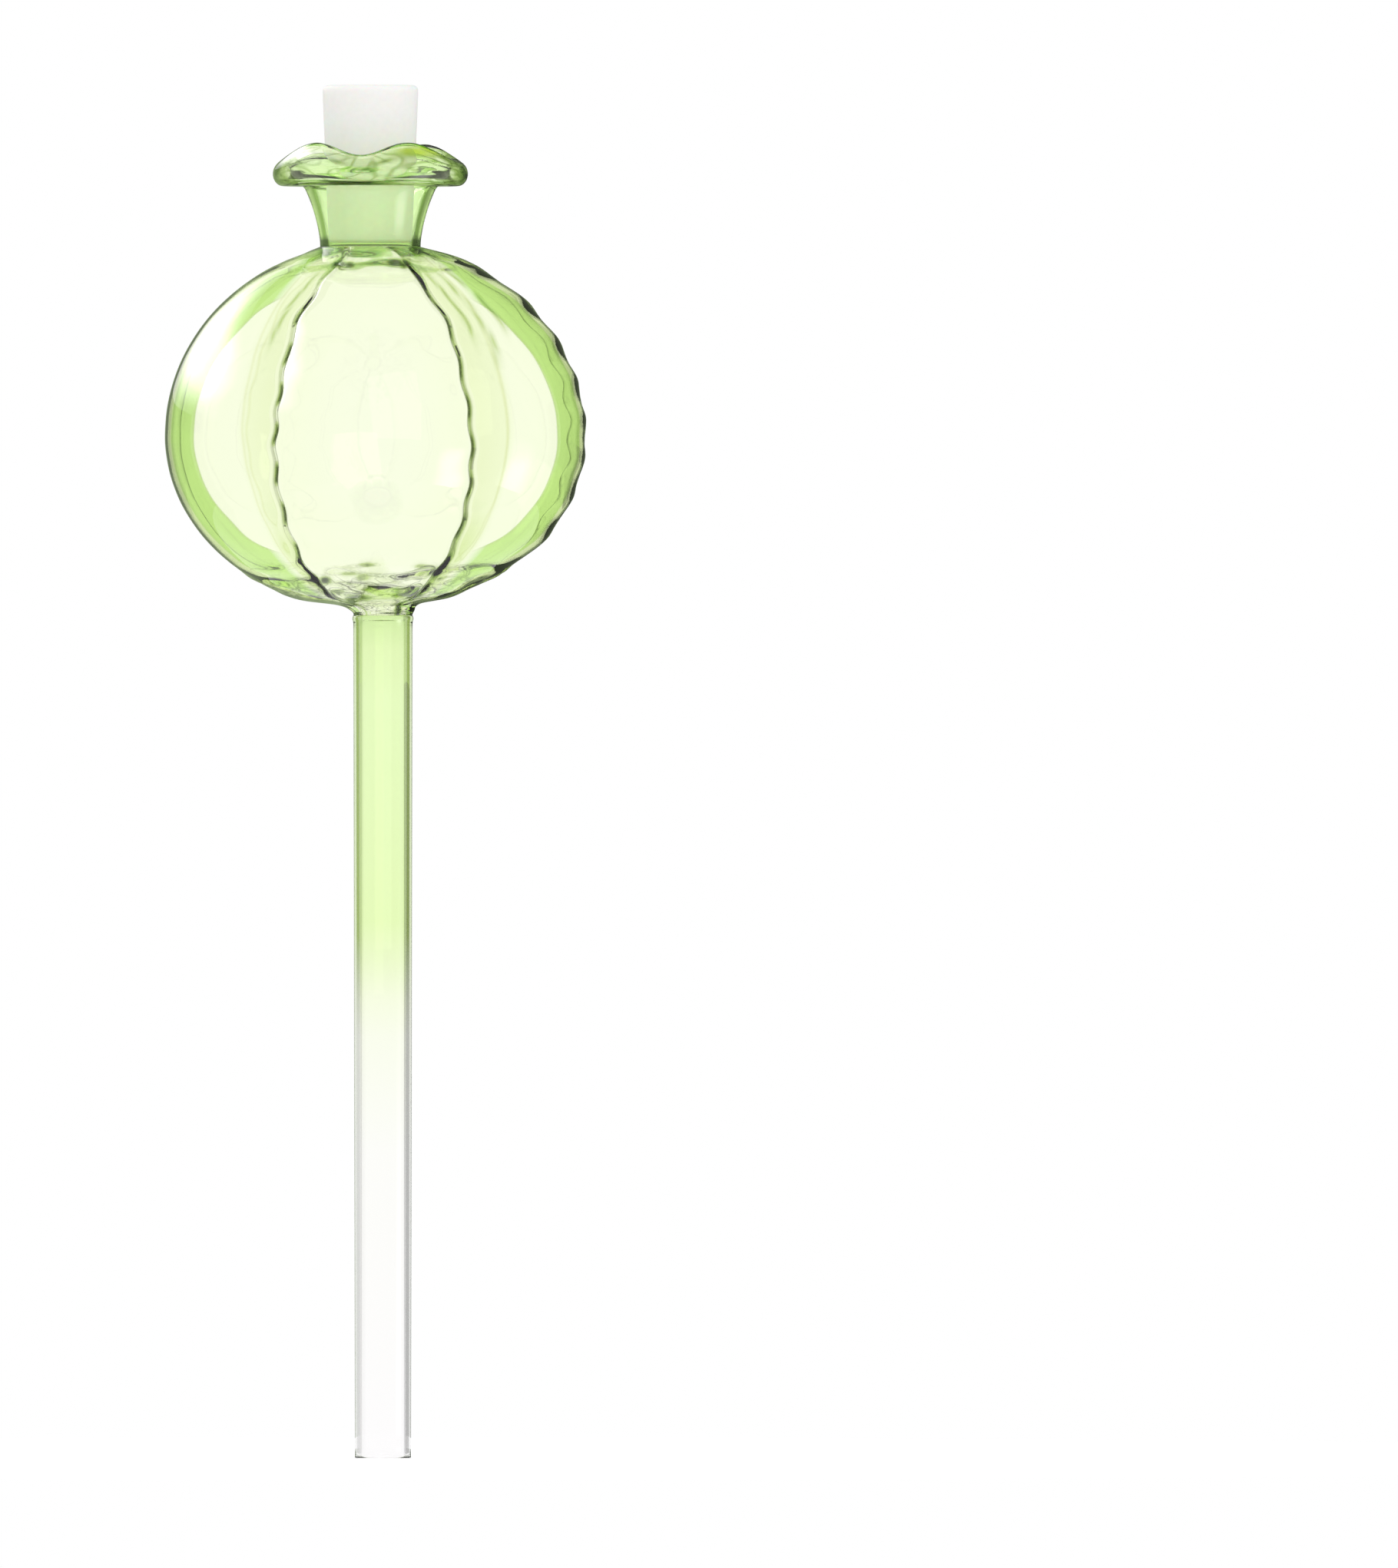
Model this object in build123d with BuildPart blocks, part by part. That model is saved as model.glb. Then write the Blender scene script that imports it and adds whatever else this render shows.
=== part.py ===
"""Watering globe: a blown, creased bulb on a glass stem, with a ruffled filler neck and a soft stopper.

Millimetres, +Z up, the front towards -Y. The origin is the centre of the open stem tip, which goes
down into the soil. The glass was blown by hand, so the bulb and the neck stand a little to the left
of the stem.
"""

import os
from math import cos, degrees, pi, radians, sin, sqrt

from build123d import *

# Stem: a plain glass tube, cut off square, with a small rolled seam under the bulb.
stem_length = 161.0
stem_radius = 5.5
stem_wall = 1.25
seam_height = 1.2
seam_swell = 0.4

# Bulb: two half ellipsoids on one equator, pinched into lobes by creases that sway from pole to pole.
bulb_radius = 42.3
bulb_rise = 37.0
bulb_drop = 33.8
bulb_wall = 1.5
bulb_offset = -1.3
crease_depth = 3.0
crease_sway = 0.7
pole_lift = 0.6
foot_height = 1.8
foot_flare = 2.1
lobes = 6

# Neck: a funnel whose rim is folded over into a thick roll. The roll's underside is level all round,
# and its top was ruffled up and down with a tool. Widths and heights of the roll are half of it.
neck_foot_radius = 9.6
neck_top_radius = 12.9
neck_height = 11.9
neck_wall = 1.6
neck_offset = -2.4
roll_radius = 16.7
roll_middle = 13.9
roll_half_width = 1.95
roll_half_height = 2.3
ruffle_height = 2.7
front_lift = 1.2
ruffles = 4
ruffle_turn = -6.0

# Stopper: a tapered plug that wedges in the foot of the neck.
stopper_top_radius = 9.2
stopper_length = 30.2
stopper_rounding = 1.1
stopper_seat_height = 0.7
stopper_clearance = 0.2

# A cut runs this far past the face that it leaves open.
overrun = 0.5

# Levels of the bulb, as shares of the quarter turn from its equator to a pole.
latitude_shares = (-0.76, -0.62, -0.48, -0.34, -0.2, -0.06, 0.08, 0.22, 0.36, 0.5, 0.64, 0.76)

# Rings of the neck: steps in degrees round its roll, and how far the ruffles crowd to front and back.
roll_step = 30
roll_end = 150
ruffle_pinch_share = 0.22
ring_points = 48

stem_bore_radius = stem_radius - stem_wall
bulb_middle = stem_length + pole_lift + bulb_drop
neck_foot = bulb_middle + bulb_rise * sqrt(1 - (neck_foot_radius / bulb_radius) ** 2)
neck_bore_radius = neck_foot_radius - neck_wall
neck_flare = neck_top_radius - neck_foot_radius
throat_radius = neck_top_radius - neck_wall / 2
throat_height = neck_height + neck_wall
lobe_turn = 360 / lobes
sway_turn = degrees(crease_sway / bulb_radius)


def stem_tube():
    """The tube, with the rolled seam where the bulb was joined on in the flame."""
    seam_foot = (stem_radius, stem_length - seam_height)
    seam_middle = (stem_radius + seam_swell, stem_length - seam_height / 2)
    with BuildPart() as tube:
        with BuildSketch(Plane.XZ):
            with BuildLine():
                Line((stem_bore_radius, 0), (stem_radius, 0))
                Line((stem_radius, 0), seam_foot)
                ThreePointArc(seam_foot, seam_middle, (stem_radius, stem_length))
                Line((stem_radius, stem_length), (stem_bore_radius, stem_length))
                Line((stem_bore_radius, stem_length), (stem_bore_radius, 0))
            make_face()
        revolve(axis=Axis.Z)
    return tube


def bulb_ring(height, crest, centre, depth=0, sway=0):
    """One level of the bulb: arcs that bulge out to the crest and meet in the creases."""
    with BuildSketch(Plane((centre, 0, height))) as ring:
        with BuildLine():
            for lobe in range(lobes):
                lean = (-1) ** lobe * sway
                ThreePointArc(
                    Vector(crest - depth, 0).rotate(Axis.Z, lobe * lobe_turn + lean),
                    Vector(crest, 0).rotate(Axis.Z, (lobe + 0.5) * lobe_turn),
                    Vector(crest - depth, 0).rotate(Axis.Z, (lobe + 1) * lobe_turn - lean),
                )
        make_face()
    return ring.sketch


def lobed_rings(wall):
    """The levels of the bulb between its foot and its shoulder, set in from the outside by the wall."""
    rings = []
    for level, share in enumerate(latitude_shares):
        reach = bulb_rise if share > 0 else bulb_drop
        height = bulb_middle + (reach - wall) * sin(share * pi / 2)
        crest = (bulb_radius - wall) * cos(share * pi / 2)
        depth = crease_depth * crest / bulb_radius
        rings.append(bulb_ring(height, crest, bulb_offset, depth, (-1) ** level * sway_turn))
    return rings


def blown_bulb():
    """The hollow bulb, from the flared foot on the stem to the shoulder under the neck."""
    foot_top = stem_length + foot_height
    outer_foot = [
        bulb_ring(stem_length, stem_radius, 0),
        bulb_ring(stem_length + foot_height / 2, stem_radius + foot_flare / 4, 0),
        bulb_ring(foot_top, stem_radius + foot_flare, bulb_offset / 2),
    ]
    inner_foot = [
        bulb_ring(stem_length - overrun, stem_bore_radius, 0),
        bulb_ring(stem_length + foot_height / 2, stem_bore_radius, 0),
        bulb_ring(foot_top + bulb_wall / 2, stem_bore_radius + foot_flare / 2, bulb_offset / 2),
    ]
    inner_shoulder = [
        bulb_ring(neck_foot - bulb_wall / 2, neck_bore_radius + bulb_wall / 4, neck_offset),
        bulb_ring(neck_foot + overrun, neck_bore_radius, neck_offset),
    ]
    with BuildPart() as bulb:
        loft(outer_foot + lobed_rings(0) + [bulb_ring(neck_foot, neck_foot_radius, neck_offset)])
        loft(inner_foot + lobed_rings(bulb_wall) + inner_shoulder, mode=Mode.SUBTRACT)
    return bulb


def ruffle_lift(turn):
    """How far the roll's top is lifted at a turn about the neck: waves that crowd to front and back."""
    place = turn - radians(ruffle_turn)
    wave = ruffles * (place - ruffle_pinch_share * sin(2 * place))
    return ruffle_height * (1 - cos(wave)) / 2 + front_lift * sin(place) ** 2


def neck_ring(radius, height, ruffle_share=0):
    """A closed curve about the neck's axis, lifted by its share of the ruffle."""
    points = []
    for step in range(ring_points):
        turn = step * 2 * pi / ring_points
        lift = ruffle_share * ruffle_lift(turn)
        points.append((neck_offset + radius * cos(turn), radius * sin(turn), neck_foot + height + lift))
    with BuildLine() as ring:
        Spline(points, periodic=True)
    return ring.wire()


def roll_ring(place):
    """A ring at an angle round the roll's section: none of the ruffle underneath, and all of it on top."""
    radius = roll_radius + roll_half_width * cos(place)
    height = roll_middle + roll_half_height * sin(place)
    return neck_ring(radius, height, (1 + sin(place)) / 2)


def ruffled_neck():
    """The neck in one skin: up the outside, out under the roll, round it and down the inside."""
    outer_foot = neck_ring(neck_foot_radius, 0)
    inner_foot = neck_ring(neck_bore_radius, 0)
    under_roll = neck_ring(neck_top_radius, neck_height)
    roll = [roll_ring(radians(turn)) for turn in range(-90, roll_end + 1, roll_step)]
    throat = neck_ring(throat_radius, throat_height)
    skin = Shell.make_loft([outer_foot, under_roll, *roll, throat, inner_foot], ruled=True)
    with BuildPart() as neck:
        add(Solid(Shell(skin.faces() + [Face(outer_foot, [inner_foot])])))
    return neck


def soft_stopper():
    """The plug: a taper that wedges just above the neck's foot, with a rounded top rim."""
    seat = neck_foot + stopper_seat_height
    foot_radius = neck_bore_radius + neck_flare * stopper_seat_height / neck_height - stopper_clearance
    with BuildPart() as plug:
        with BuildSketch(Plane((neck_offset, 0, seat))):
            Circle(foot_radius)
        with BuildSketch(Plane((neck_offset, 0, seat + stopper_length))):
            Circle(stopper_top_radius)
        loft()
        fillet(plug.edges().group_by(Axis.Z)[-1], stopper_rounding)
        fillet(plug.edges().group_by(Axis.Z)[0], stopper_rounding / 2)
    return plug


os.makedirs("parts", exist_ok=True)
for name, piece in (
    ("stem", stem_tube()),
    ("globe", blown_bulb()),
    ("neck", ruffled_neck()),
    ("stopper", soft_stopper()),
):
    piece.part.label = name
    export_step(piece.part, f"parts/{name}.step")
    print(f"{name}: {piece.part.volume:.0f} mm3, {len(piece.part.faces())} faces")
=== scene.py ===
# %% [markdown]
# This lesson dresses a watering globe: a blown glass bulb with pinched lobes, on a long glass
# tube, with a ruffled filler neck and a soft white stopper. The real one fills through the neck,
# is stoppered, and lets its water down through the open tip into the soil.
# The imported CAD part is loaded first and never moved. Every piece made here stands in the place of
# one CAD node and rides on its body. Sizes are in millimetres and follow the CAD part, which has a
# plainer wall: the wavering creases, the lumps and other relief of about 1 mm are added here.

# %% Load the frame
from math import cos, degrees, exp, pi, radians, sin, sqrt, tau

import bmesh
import bpy
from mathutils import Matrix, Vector, noise


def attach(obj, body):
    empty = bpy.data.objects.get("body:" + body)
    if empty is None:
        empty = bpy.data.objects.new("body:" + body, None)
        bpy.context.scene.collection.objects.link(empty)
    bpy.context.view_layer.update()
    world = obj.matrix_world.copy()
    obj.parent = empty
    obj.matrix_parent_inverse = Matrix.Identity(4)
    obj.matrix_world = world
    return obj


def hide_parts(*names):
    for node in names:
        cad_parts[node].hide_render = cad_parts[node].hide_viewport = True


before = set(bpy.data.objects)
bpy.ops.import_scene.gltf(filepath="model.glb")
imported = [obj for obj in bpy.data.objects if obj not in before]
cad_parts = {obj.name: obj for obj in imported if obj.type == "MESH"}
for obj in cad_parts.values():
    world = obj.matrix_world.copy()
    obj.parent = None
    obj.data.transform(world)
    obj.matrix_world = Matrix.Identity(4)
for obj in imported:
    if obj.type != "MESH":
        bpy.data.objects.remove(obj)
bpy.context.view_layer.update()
scene = bpy.context.scene

# %% [markdown]
# A blown glass wall has two faces, and light bends at both. A single sheet would look like a soap
# bubble, so each glass piece here is one closed skin: up the outside, over, and down the inside.
# All of them are stacks of rings about a standing axis, so one helper skins rings for them all.

# %% Skin a stack of rings
# The scene counts in metres.
mm = 0.001


def skin_rings(name, rings, closed=True, capped=False, marks=()):
    """Joins rings of points into one mesh; closed joins the last ring to the first, capped fills both.

    A point may carry more numbers than its place: marks names them, and materials read them.
    """
    around = len(rings[0])
    points = [Vector(point[:3]) * mm for ring in rings for point in ring]
    faces = []
    for row in range(len(rings) if closed else len(rings) - 1):
        low, high = row * around, (row + 1) % len(rings) * around
        for step in range(around):
            beside = (step + 1) % around
            faces.append((low + step, low + beside, high + beside, high + step))
    if capped:
        faces.append(tuple(reversed(range(around))))
        faces.append(tuple(range((len(rings) - 1) * around, len(rings) * around)))
    mesh = bpy.data.meshes.new(name)
    mesh.from_pydata(points, [], faces)
    for number, mark in enumerate(marks, 3):
        values = [point[number] for ring in rings for point in ring]
        mesh.attributes.new(mark, "FLOAT", "POINT").data.foreach_set("value", values)
    mesh.update()
    mesh.shade_smooth()
    piece = bpy.data.objects.new(name, mesh)
    scene.collection.objects.link(piece)
    print(f"{name}: {len(points)} points, {len(faces)} faces")
    return piece


print("one millimetre is", mm, "in the scene")

# %% [markdown]
# An outline needs few chosen rows, such as a height and a radius, if the curve between them is
# smooth. Blender's curve objects would do, but a short formula gives the plain numbers that rings
# are made of. A bell, 1 in its middle and fading to both sides, places everything that is local.

# %% Smooth curves and bells
def through(keys, share):
    """A smooth curve through rows of numbers, read at a share of the way along them."""
    place = share * (len(keys) - 1)
    at = min(int(place), len(keys) - 2)
    part = place - at
    before, start, end, after = (keys[min(max(at + k, 0), len(keys) - 1)] for k in (-1, 0, 1, 2))
    return tuple(
        b + 0.5 * part * (c - a + part * (2 * a - 5 * b + 4 * c - d + part * (3 * (b - c) + d - a)))
        for a, b, c, d in zip(before, start, end, after)
    )


def smooth_rows(rows, count):
    """The given number of rows, spaced evenly along the curve through the rows."""
    return [through(rows, step / (count - 1)) for step in range(count)]


def bell(value, middle, width):
    """1 at the middle, and nearly 0 from twice the width away."""
    return exp(-(((value - middle) / width) ** 2))


print("a bell at its middle, one and two widths away:", [round(bell(away, 0, 1), 2) for away in range(3)])

# %% [markdown]
# The bulb was blown into a ribbed mould. Between its six creases the wall swells out as a lobe,
# and at a crease it is pinched into a narrow groove that wobbles up the bulb, because the soft
# glass was drawn against the rib while it turned. A sphere could be sculpted or bent by modifiers,
# but rings that are worked out level by level give every lobe and crease its real place.

# %% Sizes of the bulb
stem_length = 161.0
bulb_radius, bulb_rise, bulb_drop = 42.3, 37.0, 33.8
bulb_offset, crease_depth, pole_lift = -1.3, 3.0, 0.6
neck_foot_radius, neck_offset = 9.6, -2.4
bulb_wall, crease_wall, joint_gap = 1.3, 1.7, 0.01
lobes, steps_per_lobe = 6, 44
# Near the joints, turns are reckoned as if the bulb were at least this wide, in mm from its axis.
least_crest = 8

bulb_middle = stem_length + pole_lift + bulb_drop
neck_foot = bulb_middle + bulb_rise * sqrt(1 - (neck_foot_radius / bulb_radius) ** 2)
half_lobe = pi / lobes
lobe_turn = 2 * half_lobe
print("bulb from", round(stem_length, 1), "to", round(neck_foot, 1), "mm")

# %% [markdown]
# No crease of a hand-blown bulb is straight. The two at the front drift towards each other as they
# rise, each sways slowly, and a quick wave runs up it where the mould's rib bit into the glass. A
# noise makes the sway and a sine the wave. The two at the back mirror the front ones, so that they
# stand behind them and add no lines of their own to the view from the front.

# %% Where the creases run
front_creases = (4, 5)
left_crease, right_crease = front_creases
twins = {1: right_crease, 2: left_crease}

# Each crease: its wobble to the side, its crimp in and out, the crimp's spread and its groove, in mm.
creases = [
    (0.45, 1.2, 9, 0.45),
    (0.35, 0.12, 5, 0.10),
    (0.50, 0.18, 5, 0.10),
    (0.15, 0.10, 5, 0.35),
    (0.50, 0.18, 5, 0.70),
    (0.35, 0.12, 5, 0.75),
]
wave_length, sway_length = 7.6, 21
wave_share, sway_share, crease_lag = 0.75, 1.1, 2.1

# How far the left and the right front crease have drifted, in degrees, at even steps up the bulb.
front_drift = [(-1.5, 0.0), (-0.6, 0.4), (0.1, 1.2), (0.8, 2.2), (1.5, 3.6), (2.5, 4.8), (6.9, 11.5)]
drift_foot, drift_top, back_drift_top = 165.0, 228.0, 213.0


def level_share(height):
    """How far up the drift's steps a height lies."""
    return min(max((height - drift_foot) / (drift_top - drift_foot), 0), 1)


def crease_wave(crease, height, lag):
    """The quick wave of a crease, from -1 to 1; its side steps, crimps and dark line lag differently."""
    return sin(tau * height / wave_length + crease_lag * crease + lag)


def wobble(crease, height):
    """How far a crease wanders to the side at a height, in mm."""
    sway = noise.noise((height / sway_length, 3.7 * crease, 0))
    return creases[crease][0] * (wave_share * crease_wave(crease, height, 3 * sway) + sway_share * sway)


def crease_drift(crease, height):
    """The turn by which a crease leans out of its even place, its wobble aside."""
    if crease in twins:
        return -crease_drift(twins[crease], min(height, back_drift_top))
    left, right = through(front_drift, level_share(height))
    return {left_crease: radians(left), right_crease: -radians(right)}.get(crease, 0)


def turn_aside(turn, crease, height):
    """How far a turn lies past a crease, the crease's wobble left out."""
    return turn - crease * lobe_turn - crease_drift(crease, height)


def crease_lean(crease, height, crest, pinch):
    """The turn by which a crease leaves its even place; pinch fades the wobble towards the joints."""
    aside = pinch * wobble(twins.get(crease, crease), height) / max(crest, least_crest)
    return (-aside if crease in twins else aside) + crease_drift(crease, height)


print("drift at the foot and top of the left crease:", front_drift[0][0], front_drift[-1][0], "degrees")

# %% [markdown]
# The groove of a crease bends light away and reads as a dark line, broken where the wave turns it
# to the light. At this size bent light alone draws it too faintly, so its shade is painted: each
# point carries a number for the shade painted into its glass, and the material reads it. A texture
# could hold the lines too, but a number on the point stays with the crease wherever that wanders.

# %% Painted shade in the creases
# Where each crease ends in a drop painted dark, near the foot and near the neck.
blot_heights = [(167.0, 230.6), (168.0, 229.5), (168.0, 229.5)]
blot_heights += [(167.0, 230.2), (167.6, 228.4), (169.1, 228.3)]
line_tops, other_line_top = {left_crease: 222.5, right_crease: 227}, 226
groove_width, back_line_share = 0.5, 0.35
fade_rest, fade_length, line_lag = 0.25, 0.8, 1.2


def top_fade(crease, height):
    """How much of a crease is left at a height: it runs out softly under the neck."""
    end = line_tops.get(crease, other_line_top)
    return fade_rest + (1 - fade_rest) / (1 + exp((height - end) / fade_length))


def painted_crease_line(crease, height, away):
    """How much shade is painted in the line of a crease: broken at the left, unbroken and thicker low down at
    the right.
    """
    front = twins.get(crease, crease)
    wave = crease_wave(front, height, line_lag)
    strength, width = 0.5, 0.2
    if front == left_crease:
        strength, width = min(max(0.7 + 0.9 * wave, 0.15), 1), 0.46
    elif front == right_crease:
        strength, width = min(0.95 + 0.3 * wave, 1), 0.44 + 0.4 * bell(height, 168, 10)
    shown = back_line_share if crease in twins else top_fade(crease, height)
    return shown * strength * exp(-((away / width) ** 4))


def blot(crease, height, away):
    """A drop of thick glass where a crease runs out at the neck or at the foot, with the shade it bends into
    view painted dark.
    """
    low, high = blot_heights[crease]
    ends = bell(height, low, 1.0) + bell(height, high, 0.8)
    return min(1.2 * ends * bell(away, 0, 1.1), 1)


print("the right crease's line at mid height:", round(painted_crease_line(right_crease, bulb_middle, 0), 2))

# %% [markdown]
# The hot glass was also worked at the foot and under the neck, which left thick drops and fine
# lines drawn down from the neck. A random scatter would be quicker, but they are few, and the eye
# compares each, so they are set one by one against the photograph, for the front only. They go into
# the same number as the crease lines.

# %% Drops and drawn lines at the front
# The drops and lines are real glass, but the dark that they show comes from bent light and is painted as
# shade.
# Across and up from the stem's tip, half the width and half the height, in mm, and the darkness.
drops = [
    (-10.9, 167.6, 0.9, 0.6, 1.0),
    (10.1, 169.1, 0.7, 0.8, 1.0),
    (8.2, 166.2, 0.6, 0.5, 0.75),
    (6.9, 164.9, 0.6, 0.4, 0.7),
    (-3.7, 168.2, 1.1, 0.6, 0.5),
    (-2.9, 170.6, 1.1, 0.35, 0.6),
    (-6.3, 168.9, 1.4, 0.35, 0.4),
    (-4.2, 164.3, 1.8, 0.5, 0.7),
    (-5.8, 163.6, 0.9, 0.5, 0.85),
    (4.3, 164.9, 1.8, 0.45, 0.75),
    (2.9, 162.0, 0.6, 0.4, 0.9),
    (7.4, 170.3, 1.0, 0.35, 0.5),
    (-8.6, 165.5, 1.2, 0.4, 0.55),
    (-8.2, 228.0, 1.3, 0.55, 1.0),
    (2.4, 228.3, 1.4, 0.6, 1.0),
    (-2.4, 228.0, 3.2, 0.35, 0.45),
    (-10.9, 230.2, 0.9, 0.7, 1.0),
    (6.6, 230.5, 0.9, 0.7, 1.0),
    (-6.2, 227.8, 0.9, 0.5, 1.0),
    (4.4, 227.8, 0.9, 0.5, 0.9),
]

# A crease, degrees aside from it, the heights from and to, and the darkness.
streaks = [
    (right_crease, 6.5, 214, 227, 0.5),
    (right_crease, 12, 209, 226, 0.45),
    (right_crease, 19, 216, 228, 0.5),
    (left_crease, -6, 213, 226, 0.4),
]
plain_from, plain_to = 172, 208


def painted_front_shade(x, turn, height, aside):
    """How much shade is painted on the drops and drawn lines; aside gives the degrees from each front crease.
    """
    if sin(turn) > 0 or plain_from < height < plain_to:
        return 0
    dark = 0
    for across, up, wide, high, strength in drops:
        spot = bell(x, across, wide) * bell(height, up, high)
        dark = max(dark, strength * min(1.6 * spot, 1))
    for crease, off, low, high, strength in streaks:
        ends = 1 / (1 + exp((low - height) / 1.0)) / (1 + exp((height - high) / 0.6))
        dark = max(dark, strength * ends * bell(aside[crease], off, 0.8))
    return 1 - (1 - dark) ** 2


print(len(drops), "drops and", len(streaks), "drawn lines")

# %% [markdown]
# Now the wall itself. A lobe is an arc from crease to crease, rounded off inside, where the glass
# ran into the pinch. Crimps and grooves cut into it near a crease, the two ends are lumpy, and the
# underside is drawn in a little above the joint, as the photograph's outline shows.

# %% Lobes
inner_rounding, outer_rounding, least_depth = 1.3, 0.15, 0.01
low_lumps, high_lumps, lump_turn, lump_rise = 1.2, 0.7, 3.2, 2.2
crimp_lag, lift_height, lift_spread = 0.9, 167.5, 4.5


def lobe_reach(turn, crest, depth, rounding):
    """The distance from the axis to a lobe's arc, at a turn from the middle of the lobe."""
    edge = half_lobe - abs(turn)
    turn = half_lobe - sqrt(edge**2 + (rounding / max(crest, least_crest)) ** 2)
    chord, rise = (crest - depth) * sin(half_lobe), crest - (crest - depth) * cos(half_lobe)
    arc = (chord**2 + rise**2) / (2 * rise)
    centre = crest - arc
    return centre * cos(turn) + sqrt(arc**2 - (centre * sin(turn)) ** 2)


def crease_relief(crease, height, away, inside):
    """How far a crease's crimp, and outside its groove, draw the wall in, in mm."""
    crimp, spread, groove = creases[crease][1:]
    relief = crimp * 0.5 * (crease_wave(crease, height, crimp_lag) - 1) * bell(away, 0, spread)
    if not inside:
        relief -= top_fade(crease, height) * groove * bell(away, 0, groove_width)
    return relief


def lumps(turn, height, inside):
    """The uneven glass where the bulb was worked at its two ends, in mm."""
    low = low_lumps * bell(height, stem_length + 5.5, 2.6)
    high = high_lumps * bell(height, neck_foot - 2, 2.2)
    spot = (lump_turn * cos(turn), lump_turn * sin(turn), height / lump_rise + (40 if inside else 0))
    return (low + high) * noise.noise(spot)


def underside_lift(turn, height):
    """How far the bulb's underside is drawn in above the joint, more at the right than at the left, in mm."""
    from_joint = min((height - stem_length) / 2, 1)
    return (0.55 + 0.45 * cos(turn)) * bell(height, lift_height, lift_spread) * from_joint


print("a lobe's crest and crease at mid height:", bulb_radius, bulb_radius - crease_depth, "mm")

# %% [markdown]
# Beside each front crease runs a band of slightly greener glass, narrower towards the foot, and
# round the neck lies a collar of deep green that dips where a crease meets it. Both are numbers on
# the points too, like the dark line, and a fourth number tells the outer skin from the inner one.

# %% Rings of the bulb
# The widths of the bands beside the left and right front creases, in degrees, from foot to neck.
band_widths = [(6.5, 8), (8.5, 10.5), (11, 13), (13.5, 15.5), (14, 16.5), (15.5, 17.5), (20, 22)]
no_band = -0.3
collar_height, collar_dip, collar_softness = 2.4, 2.2, 0.5


def ring_bands(height):
    """The band of each lobe that has one: its crease and its width, negative where it lies before it."""
    left, right = (radians(width) for width in through(band_widths, level_share(height)))
    return {3: (left_crease, -left), 5: (right_crease, right), 2: (2, left), 0: (1, -right)}


def collar_mark(height, share):
    """Above 0 in the deep green collar, which dips at a lobe's two ends."""
    dip = collar_dip * bell(min(share, 1 - share), 0, 0.1)
    return (height - neck_foot + collar_height - dip) / collar_softness


def bulb_ring(height, crest, centre, depth, pinch, inside=False):
    """One level of the bulb; pinch fades the grooves and wobbles out towards the joints."""
    ring, bands = [], ring_bands(height)
    rounding = inner_rounding if inside else outer_rounding
    for lobe in range(lobes):
        ends = (lobe, (lobe + 1) % lobes)
        lean = [crease_lean(crease, height, crest, pinch) for crease in ends]
        for step in range(steps_per_lobe):
            share = 0.5 - 0.5 * cos(pi * step / steps_per_lobe)
            turn = (lobe + share) * lobe_turn + lean[0] * (1 - share) + lean[1] * share
            reach, line, band = crest, 0, no_band
            if depth > least_depth:
                reach = lobe_reach((2 * share - 1) * half_lobe, crest, depth, rounding)
            for end, crease in enumerate(ends):
                away = abs(share - end) * lobe_turn * crest
                reach += pinch * crease_relief(crease, height, away, inside)
                line = max(line, painted_crease_line(crease, height, away), blot(crease, height, away))
            reach += lumps(turn, height, inside)
            x, up = centre + reach * cos(turn), height + underside_lift(turn, height)
            if lobe in bands:
                crease, width = bands[lobe]
                band = max(turn_aside(turn, crease, height) / width, 0)
            aside = {crease: degrees(turn_aside(turn, crease, height)) for crease in front_creases}
            line = max(line, painted_front_shade(x, turn, up, aside))
            marks = (0, no_band) if inside else (line, band)
            ring.append((x, reach * sin(turn), up, *marks, collar_mark(height, share), 0 if inside else 1))
    return ring


print("the bands widen from", band_widths[0], "to", band_widths[-1], "degrees")

# %% [markdown]
# Seen from the side, the bulb is two half ellipses on one equator, with a small flared foot on the
# stem. Seventeen levels give that outline and the smooth curve fills it in, finer outside, where
# the lines are, than inside. Both sides close on the joints and make one skin.

# %% Levels of the bulb
level_step, level_count = 0.095, 8
outer_foot, inner_foot, shoulder_bore, neck_bore = (5.6, 6.0, 8.0), (4.5, 4.6, 6.4), 8.5, 8.0
outer_rows, inner_rows = 190, 130
full_pinch_radius = 26


def bulb_levels(wall):
    """Rows of height, crest, centre, crease depth and pinch, from the stem up to the neck."""
    inner = wall > 0
    foot = inner_foot if inner else outer_foot
    rows = [
        (stem_length + joint_gap, foot[0], 0, 0, 0),
        (stem_length + 0.8, foot[1], 0, 0, 0),
        (stem_length + 1.9 + wall / 2, foot[2], bulb_offset / 2, 0.2, 0.2),
    ]
    for level in range(-level_count, level_count + 1):
        share = level * level_step
        reach = (bulb_rise if share > 0 else bulb_drop) - wall
        crest = (bulb_radius - wall) * cos(share * pi / 2)
        height = bulb_middle + reach * sin(share * pi / 2)
        depth = crease_depth + (crease_wall - wall if inner else 0)
        pinch = min(1, crest / full_pinch_radius)
        rows.append((height, crest, bulb_offset, depth * crest / bulb_radius, pinch))
    if inner:
        rows.append((neck_foot - 0.8, shoulder_bore, neck_offset, 0, 0))
    rows.append((neck_foot - joint_gap, neck_bore if inner else neck_foot_radius, neck_offset, 0, 0))
    return rows


outer_rings = [bulb_ring(*level) for level in smooth_rows(bulb_levels(0), outer_rows)]
inner_rings = [bulb_ring(*level, inside=True) for level in smooth_rows(bulb_levels(bulb_wall), inner_rows)]
bulb = skin_rings("bulb", outer_rings + inner_rings[::-1], marks=("line", "band", "collar", "skin"))

# %% [markdown]
# The neck flares up from the bulb, and its rim is folded over into a thick roll with a channel of
# air left inside it. The underside of the roll is level. Its top was pressed up and down with a
# tool while it was soft, so it waves, and each ring of the neck takes its own share of that wave.

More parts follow.
